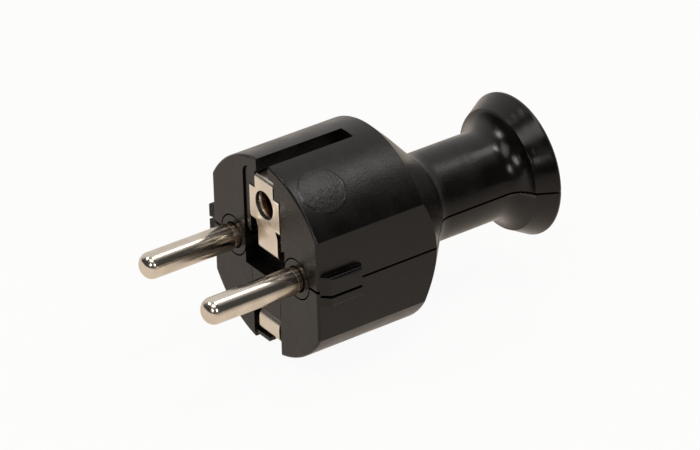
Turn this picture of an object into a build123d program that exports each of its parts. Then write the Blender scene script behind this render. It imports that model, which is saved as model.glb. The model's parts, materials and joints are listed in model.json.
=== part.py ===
from build123d import *
from math import cos, radians, sin, tan
import os

# Rewirable mains plug with two round pins, earth strips at top and bottom, an earth pin socket and a
# knob handle. All lengths are in millimetres.
# X runs from pin to pin, Y from the front face back along the handle, Z up. The origin is the centre of
# the front face, half way between the pins. The two moulded shells part on the plane z = 0.

# Contact pins
pin_pitch = 19.0
pin_diameter = 4.8
pin_length = 19.0
pin_nose_diameter = 0.9
pin_groove_y = -1.1
pin_groove_width = 0.3
pin_groove_depth = 0.4
pin_root_diameter = 4.3
pin_seat_diameter = 5.2
pin_seat_start = 0.3
pin_head_diameter = 6.2
pin_head_length = 9.0
pin_head_chamfer = 0.3
wire_hole_diameter = 3.0
wire_hole_depth = 7.0

# Outside of the body and handle
body_radius = 18.4
flat_distance = 15.7
body_length = 22.0
cone_angle = 45.0
neck_radius = 8.2
cone_fillet = 4.0
handle_length = 54.4
bell_length = 9.4
flare_radius = 4.63
flare_angle = 70.0
rim_radius = 13.2
rim_width = 1.0
rim_rounding = 0.8
edge_rounding = 0.45

# Walls and the joint between the shells
wall = 2.2
front_wall = 3.0
parting_gap = 0.3
front_parting_gap = 0.55
lip_thickness = 0.9
lip_height = 1.2
lip_clearance = 0.1
play = 0.1
overrun = 1.0  # how far a cutting form runs past the surface that it cuts

# Grip ribs on the two flats
rib_height = 1.4
rib_top = 3.4
rib_bottom = -2.6
rib_split = -0.75
rib_ramp = 1.5
rib_length = 8.3
rib_tail = 0.7
rib_rounding = 0.3
rib_root = 1.0

# Openings of the front face and the two side slots
recess_half_width = 6.0
recess_top = 15.9
recess_corner = 1.9
collar_radius = 3.55
collar_gap = 0.28
band_half_width = 4.15
band_gap = 0.12
top_slot_width = 3.6
bottom_slot_width = 8.2
slot_length = 17.75
slot_floor = 11.0
slot_frame = 1.4
nib_width = 4.1
nib_height = 0.7
nib_length = 1.4

# Earth strips and the earth pin socket
strip_thickness = 0.8
earth_pin_height = 10.0
earth_hole_radius = 2.65
plate_front = 0.2
plate_half_width = 4.4
wing_top = 12.3
wing_bottom = 6.1
upper_strip_width = 5.4
lower_strip_width = 5.8
strip_bend = 0.7
jog_depth = 0.5
jog_top = 5.2
jog_bottom = 4.2
upper_contact_z = 15.35
clip_width = 6.0
clip_front = 0.3
clip_top = -11.3
clip_recess = 2.1
contact_end = 16.4
tail_end = 20.2
strip_web_y = 10.6
sleeve_bore_radius = 2.42
sleeve_wall = 0.68
sleeve_mouth_radius = 2.8
sleeve_mouth_depth = 1.2
sleeve_length = 13.0
sleeve_slit_width = 0.9
sleeve_slit_start = 4.0
sleeve_flange_width = 0.5
sleeve_flange_thickness = 0.6

# Pin carrier
carrier_base = 3.0
chamber_wall = 0.9
chamber_floor = 1.3
chamber_rise = 3.0
tower_half_width = 4.0
tower_wall = 1.3
tower_end_wall = 1.0
frame_front = 0.35
frame_gap = 0.2
frame_bottom = 2.8
frame_foot_front = 1.7
frame_foot_height = 0.8
plate_gap = 0.15
jog_room = 1.0
floor_thickness = 1.45
terminal_shelf_drop = 2.8

# Fasteners
screw_radius = 1.45
screw_hole_clearance = 0.2
screw_head_radius = 2.4
screw_head_height = 1.9
screw_slot_width = 0.7
screw_slot_depth = 0.9
screw_end_length = 1.1
terminal_screw_lift = 0.3
thread_radius = 1.5
insert_radius = 2.0
insert_start = 0.3
insert_length = 6.0
insert_hole_depth = 7.0
housing_screw_x = 6.8
housing_screw_y = 19.2
housing_boss_radius = 2.8
housing_head_depth = 8.0
earth_screw_y = 17.4
washer_size = 6.6
washer_thickness = 1.0
wire_room = 1.2
nut_size = 5.5
nut_thickness = 2.2
clamp_nut_depth = 2.2

# Cord passage and cord clamp
cord_radius = 5.0
cord_passage_start = 21.5
cord_rib_thickness = 1.4
cord_rib_count = 5
first_cord_rib = 30.5
last_cord_rib_room = 2.3
exit_rounding = 0.8
rear_wall = 2.6
clamp_y = 24.4
clamp_width = 4.2
clamp_half_length = 10.2
clamp_foot = 2.4
clamp_arch_wall = 1.2
clamp_squeeze = 0.6
clamp_screw_x = 7.8
clamp_boss_radius = 3.2
saddle_thickness = 2.2

# Values that follow from the sizes above
pin_radius = pin_diameter / 2
pin_root_radius = pin_root_diameter / 2
pin_seat_radius = pin_seat_diameter / 2
pin_x = pin_pitch / 2
head_radius = pin_head_diameter / 2
base_back = front_wall + carrier_base
head_end = base_back + pin_head_length
rib_x = flat_distance + rib_height
plate_back = plate_front + strip_thickness
sleeve_radius = sleeve_bore_radius + sleeve_wall
tower_radius = sleeve_radius + play + tower_wall
strip_seat = upper_contact_z - strip_thickness
clip_bottom = clip_recess - body_radius
tail_top = strip_thickness
terminal_shelf_top = -strip_thickness - nut_thickness
terminal_y = base_back + pin_head_length / 2
neck_end = handle_length - bell_length
rim_y = handle_length - rim_width
last_cord_rib = handle_length - rear_wall - last_cord_rib_room
cord_rib_pitch = (last_cord_rib - first_cord_rib) / (cord_rib_count - 1)
clamp_nut_low = clamp_nut_depth + nut_thickness
washer_low = tail_top + wire_room
reach = body_radius + handle_length


def across(y):
    """Plane across the plug at the length y; its local x is X and its local y is Z."""
    return Plane.XZ.offset(-y)


def box_between(x, y, z, mode=Mode.ADD):
    """Box with the given low and high limits along X, Y and Z."""
    middle = tuple((low + high) / 2 for low, high in (x, y, z))
    size = [high - low for low, high in (x, y, z)]
    with Locations(middle):
        Box(*size, mode=mode)


def rod_along_y(radius, x, z, start, end, mode=Mode.ADD):
    """Round rod or hole along Y."""
    with BuildSketch(across(start)) as section:
        with Locations((x, z)):
            Circle(radius)
    extrude(section.sketch, amount=start - end, mode=mode)


def rod_along_z(radius, x, y, low, high, mode=Mode.ADD):
    """Round rod or hole along Z."""
    with Locations((x, y, low)):
        Cylinder(radius, high - low, align=(Align.CENTER, Align.CENTER, Align.MIN), mode=mode)


def housing_profile(inset, front, back):
    """Half section of body, cone, neck and bell, drawn as radius against Y and moved in by inset."""
    flare_centre_r = neck_radius + flare_radius
    flare = flare_radius + inset
    # the cone meets the cylinder at body_length on the outside
    cone_start = body_length - inset * tan(radians(cone_angle / 2))
    neck_start = cone_start + (body_radius - neck_radius) / tan(radians(cone_angle))
    half_angle = radians(flare_angle / 2)
    full_angle = radians(flare_angle)
    middle = (flare_centre_r - flare * cos(half_angle), neck_end + flare * sin(half_angle))
    crease = (flare_centre_r - flare * cos(full_angle), neck_end + flare * sin(full_angle))
    band_end = (rim_radius - inset, max(rim_y - inset, crease[1] + play))
    with BuildSketch(Plane.XY) as profile:
        with BuildLine():
            Polyline(
                (0, front),
                (body_radius - inset, front),
                (body_radius - inset, cone_start),
                (neck_radius - inset, neck_start),
                (neck_radius - inset, neck_end),
            )
            ThreePointArc((neck_radius - inset, neck_end), middle, crease)
            Polyline(crease, band_end, (rim_radius - inset, back), (0, back), (0, front))
        make_face()
        neck_corners = profile.vertices().filter_by(lambda v: abs(v.X - neck_radius + inset) < 0.01)
        fillet(neck_corners.sort_by(Axis.Y)[0], cone_fillet)
    return profile.sketch


def outline(inset, front, back):
    """Solid of revolution inside the housing profile, cut by the two flats."""
    profile = housing_profile(inset, front, back)
    with BuildPart() as solid:
        revolve(profile, axis=Axis.Y)
        side = flat_distance - inset
        box_between((-side, side), (-overrun, reach), (-reach, reach), mode=Mode.INTERSECT)
    return solid.part


def housing_blank(side):
    """Outer form of one half, with rounded edges and grip ribs; side is 1 above and -1 below."""
    body = outline(0, 0, handle_length)
    with BuildPart() as blank:
        add(body)
        fillet(blank.edges().group_by(Axis.Y)[0], edge_rounding)
        fillet(blank.faces().sort_by(Axis.Y)[-1].edges(), rim_rounding)
        for hand in (-1, 1):
            split_z = rib_split if hand == 1 else 0
            low, high = (split_z, rib_top) if side == 1 else (rib_bottom, split_z)
            gap = side * front_parting_gap / 2
            with BuildSketch(Plane.XY.offset(low + max(gap, 0))):
                with BuildLine():
                    Polyline(
                        (hand * (flat_distance - rib_root), edge_rounding),
                        (hand * flat_distance, edge_rounding),
                        (hand * rib_x, edge_rounding + rib_ramp),
                        (hand * rib_x, rib_length),
                        (hand * flat_distance, rib_length + rib_tail),
                        (hand * (flat_distance - rib_root), rib_length + rib_tail),
                        close=True,
                    )
                make_face()
            extrude(amount=high - low - abs(gap))
        ridge = blank.edges().filter_by(Axis.Y).filter_by(
            lambda e: abs(abs(e.center().X) - rib_x) < 0.01 and abs(e.center().Z) > abs(rib_bottom) - 0.01)
        fillet(ridge, rib_rounding)
    return blank.part


def hollow(side):
    """Inner space of one half, already without its bosses, ribs and the frame of its earth slot."""
    z_low, z_high = (0, reach) if side == 1 else (-reach, 0)
    inside = outline(wall, front_wall, handle_length - rear_wall)
    with BuildPart() as space:
        add(inside)
        box_between((-reach, reach), (-overrun, reach), (z_low, z_high), mode=Mode.INTERSECT)
        for number in range(cord_rib_count):
            y = first_cord_rib + number * cord_rib_pitch
            box_between((-reach, reach), (y, y + cord_rib_thickness), (-reach, reach), mode=Mode.SUBTRACT)
        for hand in (-1, 1):
            # rib behind each pin head, with a way for the wire
            near, far = sorted((hand * (pin_x - head_radius), hand * flat_distance))
            box_between((near, far), (head_end + play, head_end + play + cord_rib_thickness),
                        (-body_radius, body_radius), mode=Mode.SUBTRACT)
            x = hand * housing_screw_x
            low, high = sorted((0, side * body_radius))
            rod_along_z(housing_boss_radius, x, housing_screw_y, low, high, Mode.SUBTRACT)
            if side == -1:
                rod_along_z(clamp_boss_radius, hand * clamp_screw_x, clamp_y, -body_radius, 0, Mode.SUBTRACT)
        if side == 1:
            # pad inside the wall that frames the slot down to the contact strip
            half_frame = top_slot_width / 2 + slot_frame
            low, high = upper_contact_z + play, reach
        else:
            box_between((-clamp_screw_x, clamp_screw_x),
                        (clamp_y - saddle_thickness / 2, clamp_y + saddle_thickness / 2),
                        (-body_radius, 0), mode=Mode.SUBTRACT)
            # channel round the lower contact, from the slot's mouth to its end wall
            half_frame = bottom_slot_width / 2 + slot_frame
            low, high = -reach, -slot_floor
        box_between((-half_frame, half_frame), (-overrun, slot_length + slot_frame), (low, high),
                    mode=Mode.SUBTRACT)
    return space.part


def cut_wire_and_cord_ways():
    """Round ways for the two wires and the cord through ribs, saddle and rear wall."""
    for hand in (-1, 1):
        rod_along_y(wire_hole_diameter / 2 + play, hand * pin_x, 0, head_end, head_end + 2 * cord_rib_thickness,
                    Mode.SUBTRACT)
    rod_along_y(cord_radius, 0, 0, cord_passage_start, handle_length + overrun, Mode.SUBTRACT)


def round_cord_exit():
    """Rounded mouth of the cord hole in the end of the handle."""
    mouth = cord_radius + exit_rounding
    inner_end = handle_length - exit_rounding
    outer_end = handle_length + overrun
    with BuildSketch(Plane.XY) as section:
        with BuildLine():
            Polyline((mouth, outer_end), (0, outer_end), (0, inner_end), (cord_radius, inner_end))
            RadiusArc((cord_radius, inner_end), (mouth, handle_length), exit_rounding)
            Line((mouth, handle_length), (mouth, outer_end))
        make_face()
    revolve(section.sketch, axis=Axis.Y, mode=Mode.SUBTRACT)


def lip_ring(growth):
    """Lip of the upper half, inside its wall; growth makes it the rebate of the lower half instead."""
    back = handle_length - rear_wall
    outer = outline(wall - lip_thickness - growth, front_wall, back + lip_thickness + growth)
    inner = outline(wall, front_wall - overrun, back)
    with BuildPart() as ring:
        add(outer)
        add(inner, mode=Mode.SUBTRACT)
        box_between((-reach, reach), (front_wall, reach), (-lip_height - growth, front_parting_gap),
                    mode=Mode.INTERSECT)
        rod_along_y(cord_radius, 0, 0, cord_passage_start, handle_length + overrun, Mode.SUBTRACT)
    return ring.part


def slotted_screw(x, y, under_head, length, up=1):
    """Cheese-head screw along Z with its head's lower face at under_head; up is -1 for a head below."""
    tip = under_head - up * length
    top = under_head + up * screw_head_height
    rod_along_z(screw_radius, x, y, min(tip, under_head), max(tip, under_head))
    rod_along_z(screw_head_radius, x, y, min(top, under_head), max(top, under_head))
    slot = sorted((top - up * screw_slot_depth, top))
    box_between((x - screw_head_radius, x + screw_head_radius),
                (y - screw_slot_width / 2, y + screw_slot_width / 2), slot, mode=Mode.SUBTRACT)


def folded_strip(points, width):
    """Strip of the earth contacts, folded along a centre line given as (Y, Z) points."""
    with BuildSketch(Plane.YZ) as section:
        with BuildLine() as centre_line:
            FilletPolyline(*points, radius=strip_bend)
        trace(centre_line.line, line_width=strip_thickness)
    extrude(section.sketch, amount=width / 2, both=True)


def export(piece, name):
    """Labels a finished piece and writes its STEP file."""
    piece.part.label = name
    export_step(piece.part, f"parts/{name}.step")


os.makedirs("parts", exist_ok=True)

# Upper shell: narrow earth slot, earth recess, half collars, screw bosses
upper_blank = housing_blank(1)
upper_hollow = hollow(1)
lip = lip_ring(0)
with BuildPart() as upper_shell:
    add(upper_blank)
    box_between((-reach, reach), (-overrun, reach), (front_parting_gap / 2 + rib_split, reach),
                mode=Mode.INTERSECT)
    for length, gap in ((reach, parting_gap), (rib_length, front_parting_gap)):
        box_between((-flat_distance, flat_distance), (-overrun, length), (-reach, gap / 2), mode=Mode.SUBTRACT)
    add(upper_hollow, mode=Mode.SUBTRACT)
    # boss faces reach the parting plane itself, so that the shells seat on them
    for hand in (-1, 1):
        rod_along_z(housing_boss_radius, hand * housing_screw_x, housing_screw_y, 0, overrun)
    add(lip)
    cut_wire_and_cord_ways()
    round_cord_exit()
    with BuildSketch(across(-overrun)):
        with Locations((0, recess_top / 2)):
            recess = Rectangle(2 * recess_half_width, recess_top)
        fillet(recess.vertices().group_by(Axis.Y)[-1], recess_corner)
    extrude(amount=-(front_wall + overrun), mode=Mode.SUBTRACT)
    for hand in (-1, 1):
        rod_along_y(collar_radius + collar_gap, hand * pin_x, 0, -overrun, front_wall, Mode.SUBTRACT)
        rod_along_z(insert_radius, hand * housing_screw_x, housing_screw_y, -overrun, insert_hole_depth,
                    Mode.SUBTRACT)
    box_between((-top_slot_width / 2, top_slot_width / 2), (-overrun, slot_length),
                (upper_contact_z - overrun, reach), mode=Mode.SUBTRACT)
    # bed of the upper contact strip, under the slot
    half_bed = upper_strip_width / 2 + play
    box_between((-half_bed, half_bed), (-overrun, contact_end + play), (strip_seat - play, upper_contact_z + play),
                mode=Mode.SUBTRACT)
export(upper_shell, "upper_shell")

# Lower shell: wide earth slot, clamp bosses with nut pockets, deep screw heads
lower_blank = housing_blank(-1)
lower_hollow = hollow(-1)
rebate = lip_ring(lip_clearance)
with BuildPart() as lower_shell:
    add(lower_blank)
    for length, gap in ((reach, parting_gap), (rib_length, front_parting_gap)):
        box_between((-flat_distance, flat_distance), (-overrun, length), (-gap / 2, reach), mode=Mode.SUBTRACT)
    box_between((-reach, reach), (-overrun, reach), (-reach, 0), mode=Mode.INTERSECT)
    add(lower_hollow, mode=Mode.SUBTRACT)
    for hand in (-1, 1):
        rod_along_z(housing_boss_radius, hand * housing_screw_x, housing_screw_y, -overrun, 0)
    add(rebate, mode=Mode.SUBTRACT)
    cut_wire_and_cord_ways()
    round_cord_exit()
    box_between((-recess_half_width, recess_half_width), (-overrun, front_wall),
                (-collar_radius - collar_gap, overrun), mode=Mode.SUBTRACT)
    half_band = band_half_width + band_gap
    box_between((-half_band, half_band), (-overrun, front_wall), (-slot_floor, overrun), mode=Mode.SUBTRACT)
    box_between((-bottom_slot_width / 2, bottom_slot_width / 2), (-overrun, slot_length),
                (-reach, -slot_floor), mode=Mode.SUBTRACT)
    # nib on the slot's wall that holds the strip's front bend from below
    box_between((-bottom_slot_width / 2 - overrun, nib_width - bottom_slot_width / 2),
                (clip_front, clip_front + nib_length), (clip_bottom - play - nib_height, clip_bottom - play))
    for hand in (-1, 1):
        rod_along_y(collar_radius + collar_gap, hand * pin_x, 0, -overrun, front_wall, Mode.SUBTRACT)
        x = hand * housing_screw_x
        rod_along_z(screw_radius + screw_hole_clearance, x, housing_screw_y, -reach, overrun, Mode.SUBTRACT)
        rod_along_z(screw_head_radius + screw_hole_clearance, x, housing_screw_y, -reach, -housing_head_depth,
                    Mode.SUBTRACT)
        x = hand * clamp_screw_x
        hole_end = -clamp_nut_low - 2 * screw_end_length
        rod_along_z(screw_radius + screw_hole_clearance, x, clamp_y, hole_end, overrun, Mode.SUBTRACT)
        # the nut slides in from the cord's side
        half_nut = nut_size / 2 + play
        pocket_x = sorted((x - hand * (clamp_boss_radius + overrun), x + hand * half_nut))
        box_between(pocket_x, (clamp_y - half_nut, clamp_y + half_nut),
                    (-clamp_nut_low - play, -clamp_nut_depth + play), mode=Mode.SUBTRACT)
export(lower_shell, "lower_shell")

def add_plate_frame():
    """Frame that fills the recess round the earth plate, a little below the front face."""
    frame_half = recess_half_width - frame_gap
    frame_top = recess_top - frame_gap
    opening_half = plate_half_width + plate_gap
    with BuildSketch(across(frame_front)) as front:
        with Locations((0, (frame_bottom + frame_top) / 2)):
            ring = Rectangle(2 * frame_half, frame_top - frame_bottom)
        fillet(ring.vertices(), recess_corner - frame_gap)
        # opening of the plate's own outline, open at the top for the strip that runs back
        with Locations((0, (frame_bottom + wing_top + plate_gap) / 2)):
            Rectangle(2 * opening_half, wing_top + plate_gap - frame_bottom, mode=Mode.SUBTRACT)
        with Locations((0, recess_top)):
            Rectangle(upper_strip_width + 2 * plate_gap, recess_top, mode=Mode.SUBTRACT)
    extrude(front.sketch, amount=frame_front - front_wall)
    box_between((-opening_half, opening_half), (frame_foot_front, front_wall),
                (frame_bottom, frame_bottom + frame_foot_height))


# Pin carrier: collars, band and base plate, chambers for the pin heads, tower for the earth socket
with BuildPart() as pin_carrier:
    chamber_outer = flat_distance - wall - play
    box_between((-chamber_outer, chamber_outer), (front_wall, base_back),
                (-head_radius - chamber_floor, head_radius + chamber_floor))
    box_between((-band_half_width - slot_frame, band_half_width + slot_frame), (front_wall, base_back),
                (-slot_floor, strip_seat))
    box_between((-band_half_width, band_half_width), (0, front_wall),
                (-slot_floor, -collar_radius - collar_gap))
    box_between((-tower_half_width, tower_half_width), (plate_back, front_wall),
                (jog_top + jog_room, strip_seat))
    # the tower's top front edge clears the inside of the plate's bend
    cross_edges = pin_carrier.edges().filter_by(Axis.X)
    tower_edges = cross_edges.filter_by(lambda edge: abs(edge.center().Y - plate_back) < 0.01)
    fillet(tower_edges.sort_by(Axis.Z)[-1], strip_bend - strip_thickness / 2 + play)
    box_between((-upper_strip_width / 2, upper_strip_width / 2), (front_wall, contact_end),
                (earth_pin_height + sleeve_radius, strip_seat))
    add_plate_frame()
    rod_along_y(tower_radius, 0, earth_pin_height, front_wall, plate_back + sleeve_length + tower_end_wall)
    # floor over the lower contact and the shelf under the earth terminal
    box_between((-band_half_width - slot_frame, band_half_width + slot_frame), (front_wall, contact_end),
                (-slot_floor, -slot_floor + floor_thickness))
    shelf_half_width = housing_screw_x - housing_boss_radius - play
    box_between((-shelf_half_width, shelf_half_width), (base_back, tail_end),
                (terminal_shelf_top - terminal_shelf_drop, terminal_shelf_top))
    for hand in (-1, 1):
        near = pin_x - head_radius - play - chamber_wall
        low, high = sorted((hand * near, hand * chamber_outer))
        rod_along_y(collar_radius, hand * pin_x, 0, 0, front_wall)
        box_between((low, high), (base_back, head_end), (-head_radius - chamber_floor, chamber_rise))
    for hand in (-1, 1):
        rod_along_y(pin_radius + play / 2, hand * pin_x, 0, -overrun, pin_seat_start, Mode.SUBTRACT)
        rod_along_y(pin_seat_radius + play / 2, hand * pin_x, 0, pin_seat_start, base_back, Mode.SUBTRACT)
        rod_along_y(head_radius + play / 2, hand * pin_x, 0, base_back, head_end + overrun, Mode.SUBTRACT)
        box_between((hand * pin_x - head_radius - play / 2, hand * pin_x + head_radius + play / 2),
                    (base_back, head_end + overrun), (0, reach), mode=Mode.SUBTRACT)
    # bore and counterbore of the earth sleeve
    rod_along_y(sleeve_radius + play / 2, 0, earth_pin_height, 0, plate_back + sleeve_length, Mode.SUBTRACT)
    rod_along_y(sleeve_radius + sleeve_flange_width + play / 2, 0, earth_pin_height, 0,
                plate_back + sleeve_flange_thickness, Mode.SUBTRACT)
    # ways for the earth plate's tail and for the lower strip's web
    half_tail = clip_width / 2 + play
    box_between((-half_tail, half_tail), (front_wall - overrun, base_back), (-play, tail_top + play),
                mode=Mode.SUBTRACT)
    web_front = strip_web_y - strip_thickness / 2 - play
    web_back = strip_web_y + strip_thickness / 2 + play
    box_between((-half_tail, half_tail), (web_front, web_back), (-reach, 0), mode=Mode.SUBTRACT)
    rod_along_z(screw_radius + screw_hole_clearance, 0, earth_screw_y, -reach, 0, Mode.SUBTRACT)
export(pin_carrier, "pin_carrier")


def contact_pin(hand):
    """Turned pin with a rounded tip, a groove and relief at its root, a wider seat and a terminal head."""
    groove_r = pin_radius - pin_groove_depth
    with BuildPart() as pin:
        with BuildSketch(Plane.XY):
            with BuildLine():
                tip_y = -pin_length
                nose_r = pin_nose_diameter / 2
                shoulder = pin_radius - nose_r
                round_y = tip_y + shoulder
                slant = shoulder * sin(radians(45))
                Line((0, tip_y), (nose_r, tip_y))
                ThreePointArc((nose_r, tip_y), (nose_r + slant, round_y - slant), (pin_radius, round_y))
                Polyline(
                    (pin_radius, round_y),
                    (pin_radius, pin_groove_y - pin_groove_width / 2),
                    (groove_r, pin_groove_y),
                    (pin_root_radius, pin_groove_y + pin_groove_width / 2),
                    (pin_root_radius, pin_seat_start),
                    (pin_seat_radius, pin_seat_start + pin_seat_radius - pin_root_radius),
                    (pin_seat_radius, base_back),
                    (head_radius, base_back),
                    (head_radius, head_end),
                    (0, head_end),
                    (0, tip_y),
                )
            make_face()
        revolve(axis=Axis.Y)
        chamfer(pin.edges().group_by(Axis.Y)[-1], pin_head_chamfer)
        rod_along_y(wire_hole_diameter / 2, 0, 0, head_end - wire_hole_depth, head_end + overrun, Mode.SUBTRACT)
        rod_along_z(thread_radius, 0, terminal_y, 0, head_radius + overrun, Mode.SUBTRACT)
    with BuildPart() as placed:
        with Locations((hand * pin_x, 0, 0)):
            add(pin.part)
    return placed


for name, hand in (("left", -1), ("right", 1)):
    export(contact_pin(hand), f"{name}_pin")
    with BuildPart() as terminal_screw:
        under_head = head_radius + terminal_screw_lift
        slotted_screw(hand * pin_x, terminal_y, under_head, under_head - wire_hole_diameter / 2)
    export(terminal_screw, f"{name}_terminal_screw")
    with BuildPart() as housing_screw:
        slotted_screw(hand * housing_screw_x, housing_screw_y, -housing_head_depth,
                      housing_head_depth + insert_length, up=-1)
    export(housing_screw, f"{name}_housing_screw")
    with BuildPart() as threaded_insert:
        x = hand * housing_screw_x
        rod_along_z(insert_radius, x, housing_screw_y, insert_start, insert_start + insert_length)
        rod_along_z(thread_radius, x, housing_screw_y, 0, insert_hole_depth, Mode.SUBTRACT)
    export(threaded_insert, f"{name}_threaded_insert")
    with BuildPart() as clamp_screw:
        slotted_screw(hand * clamp_screw_x, clamp_y, clamp_foot, clamp_foot + clamp_nut_low + screw_end_length)
    export(clamp_screw, f"cord_clamp_{name}_screw")
    with BuildPart() as clamp_nut:
        x = hand * clamp_screw_x
        box_between((x - nut_size / 2, x + nut_size / 2), (clamp_y - nut_size / 2, clamp_y + nut_size / 2),
                    (-clamp_nut_low, -clamp_nut_depth))
        rod_along_z(thread_radius, x, clamp_y, -reach, overrun, Mode.SUBTRACT)
    export(clamp_nut, f"{name}_clamp_nut")

# Earth plate: top contact, plate with the earth pin hole, jogged lower strip and a tail to the terminal
with BuildPart() as earth_plate:
    half = strip_thickness / 2
    folded_strip(
        [
            (contact_end, upper_contact_z - half),
            (plate_front + half, upper_contact_z - half),
            (plate_front + half, jog_top),
            (plate_front + jog_depth + half, jog_bottom),
            (plate_front + jog_depth + half, half),
            (tail_end, half),
        ],
        2 * plate_half_width,
    )
    strips = ((upper_strip_width, wing_top, reach), (lower_strip_width, -overrun, wing_bottom))
    for hand in (-1, 1):
        for width, low, high in strips:
            near, far = sorted((hand * width / 2, hand * (plate_half_width + overrun)))
            box_between((near, far), (-overrun, reach), (low, high), mode=Mode.SUBTRACT)
    rod_along_y(earth_hole_radius, 0, earth_pin_height, -overrun, front_wall, Mode.SUBTRACT)
    rod_along_z(screw_radius + screw_hole_clearance, 0, earth_screw_y, -overrun, strip_thickness + overrun,
                Mode.SUBTRACT)
export(earth_plate, "earth_plate")

# Earth sleeve: flanged tube with a funnel mouth and two slits
with BuildPart() as earth_sleeve:
    with BuildSketch(Plane.XY):
        with BuildLine():
            Polyline(
                (sleeve_bore_radius, plate_back + sleeve_length),
                (sleeve_bore_radius, plate_back + sleeve_mouth_depth),
                (sleeve_mouth_radius, plate_back),
                (sleeve_radius + sleeve_flange_width, plate_back),
                (sleeve_radius + sleeve_flange_width, plate_back + sleeve_flange_thickness),
                (sleeve_radius, plate_back + sleeve_flange_thickness),
                (sleeve_radius, plate_back + sleeve_length),
                close=True,
            )
        make_face()
    revolve(axis=Axis.Y)
    box_between((-sleeve_radius, sleeve_radius), (sleeve_slit_start, plate_back + sleeve_length + overrun),
                (-sleeve_slit_width / 2, sleeve_slit_width / 2), mode=Mode.SUBTRACT)
with BuildPart() as placed_sleeve:
    with Locations((0, 0, earth_pin_height)):
        add(earth_sleeve.part)
export(placed_sleeve, "earth_sleeve")

# Lower earth strip: from the terminal down to the bottom slot, folded into the lower side contact
with BuildPart() as lower_earth_strip:
    half = strip_thickness / 2
    folded_strip(
        [
            (tail_end, -half),
            (strip_web_y, -half),
            (strip_web_y, clip_top - half),
            (clip_front + half, clip_top - half),
            (clip_front + half, clip_bottom + half),
            (contact_end, clip_bottom + half),
        ],
        clip_width,
    )
    rod_along_z(screw_radius + screw_hole_clearance, 0, earth_screw_y, -strip_thickness - overrun, overrun,
                Mode.SUBTRACT)
export(lower_earth_strip, "lower_earth_strip")

# Earth terminal: square nut on the carrier's shelf, the two strips, a square washer and the screw
with BuildPart() as earth_terminal_nut:
    box_between((-nut_size / 2, nut_size / 2), (earth_screw_y - nut_size / 2, earth_screw_y + nut_size / 2),
                (terminal_shelf_top, -strip_thickness))
    rod_along_z(thread_radius, 0, earth_screw_y, -reach, overrun, Mode.SUBTRACT)
export(earth_terminal_nut, "earth_terminal_nut")
with BuildPart() as earth_clamp_washer:
    box_between((-washer_size / 2, washer_size / 2),
                (earth_screw_y - washer_size / 2, earth_screw_y + washer_size / 2),
                (washer_low, washer_low + washer_thickness))
    # turned-down lip that keeps the wire under the washer
    box_between((-washer_size / 2, washer_size / 2),
                (earth_screw_y - washer_size / 2, earth_screw_y - washer_size / 2 + washer_thickness / 2),
                (tail_top, washer_low))
    rod_along_z(screw_radius + play, 0, earth_screw_y, -overrun, reach, Mode.SUBTRACT)
export(earth_clamp_washer, "earth_clamp_washer")
with BuildPart() as earth_terminal_screw:
    slotted_screw(0, earth_screw_y, washer_low + washer_thickness,
                  washer_low + washer_thickness + strip_thickness + nut_thickness)
export(earth_terminal_screw, "earth_terminal_screw")

# Cord clamp: arched bar on two feet, drilled for its screws
with BuildPart() as cord_clamp:
    with BuildSketch(across(clamp_y - clamp_width / 2)):
        with Locations((0, clamp_foot / 2)):
            Rectangle(2 * clamp_half_length, clamp_foot)
        Circle(cord_radius - clamp_squeeze + clamp_arch_wall)
        Circle(cord_radius - clamp_squeeze, mode=Mode.SUBTRACT)
        with Locations((0, -body_radius / 2)):
            Rectangle(2 * body_radius, body_radius, mode=Mode.SUBTRACT)
    extrude(amount=-clamp_width)
    for hand in (-1, 1):
        rod_along_z(screw_radius + screw_hole_clearance, hand * clamp_screw_x, clamp_y, -overrun, reach,
                    Mode.SUBTRACT)
export(cord_clamp, "cord_clamp")
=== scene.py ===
"""Looks of the two-pole mains plug with a flared knob handle, built round its fixed frame.

The frame holds every solid piece. This file gives each piece its finish, eases the edges and ribs of the
two shells, folds both earth strips again with soft bends, and sets up the floor, the lamps and the
camera. Every length is in metres, X runs from pin to pin, Y from the front face back along the handle
and Z up.
"""

import json
import logging
import math
from dataclasses import dataclass, field
from enum import Enum

import bmesh
import bpy
from mathutils import Matrix, Vector


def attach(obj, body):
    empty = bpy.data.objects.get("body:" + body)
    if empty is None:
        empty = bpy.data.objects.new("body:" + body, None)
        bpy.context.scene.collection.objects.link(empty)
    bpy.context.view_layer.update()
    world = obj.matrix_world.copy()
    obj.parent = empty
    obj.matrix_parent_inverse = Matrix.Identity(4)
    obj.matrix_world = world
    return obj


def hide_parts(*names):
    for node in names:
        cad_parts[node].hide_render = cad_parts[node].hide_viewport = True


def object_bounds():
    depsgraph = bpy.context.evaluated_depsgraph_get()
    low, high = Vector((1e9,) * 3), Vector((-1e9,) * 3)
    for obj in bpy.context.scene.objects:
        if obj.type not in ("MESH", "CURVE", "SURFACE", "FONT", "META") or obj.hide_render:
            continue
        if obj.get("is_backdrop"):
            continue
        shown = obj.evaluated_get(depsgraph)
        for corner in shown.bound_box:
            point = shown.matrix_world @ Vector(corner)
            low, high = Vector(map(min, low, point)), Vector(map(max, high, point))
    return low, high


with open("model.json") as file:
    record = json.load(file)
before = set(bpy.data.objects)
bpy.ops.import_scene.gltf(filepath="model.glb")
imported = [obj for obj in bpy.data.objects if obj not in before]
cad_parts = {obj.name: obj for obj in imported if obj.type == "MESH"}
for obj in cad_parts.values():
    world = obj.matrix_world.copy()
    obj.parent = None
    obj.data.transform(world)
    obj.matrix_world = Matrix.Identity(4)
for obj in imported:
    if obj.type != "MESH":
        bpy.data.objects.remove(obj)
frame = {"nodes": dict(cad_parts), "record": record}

log = logging.getLogger("plug")
MM = 0.001
PHOTO_WIDTH = 700

Colour = tuple[float, float, float]
Span = tuple[float, ...]


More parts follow.
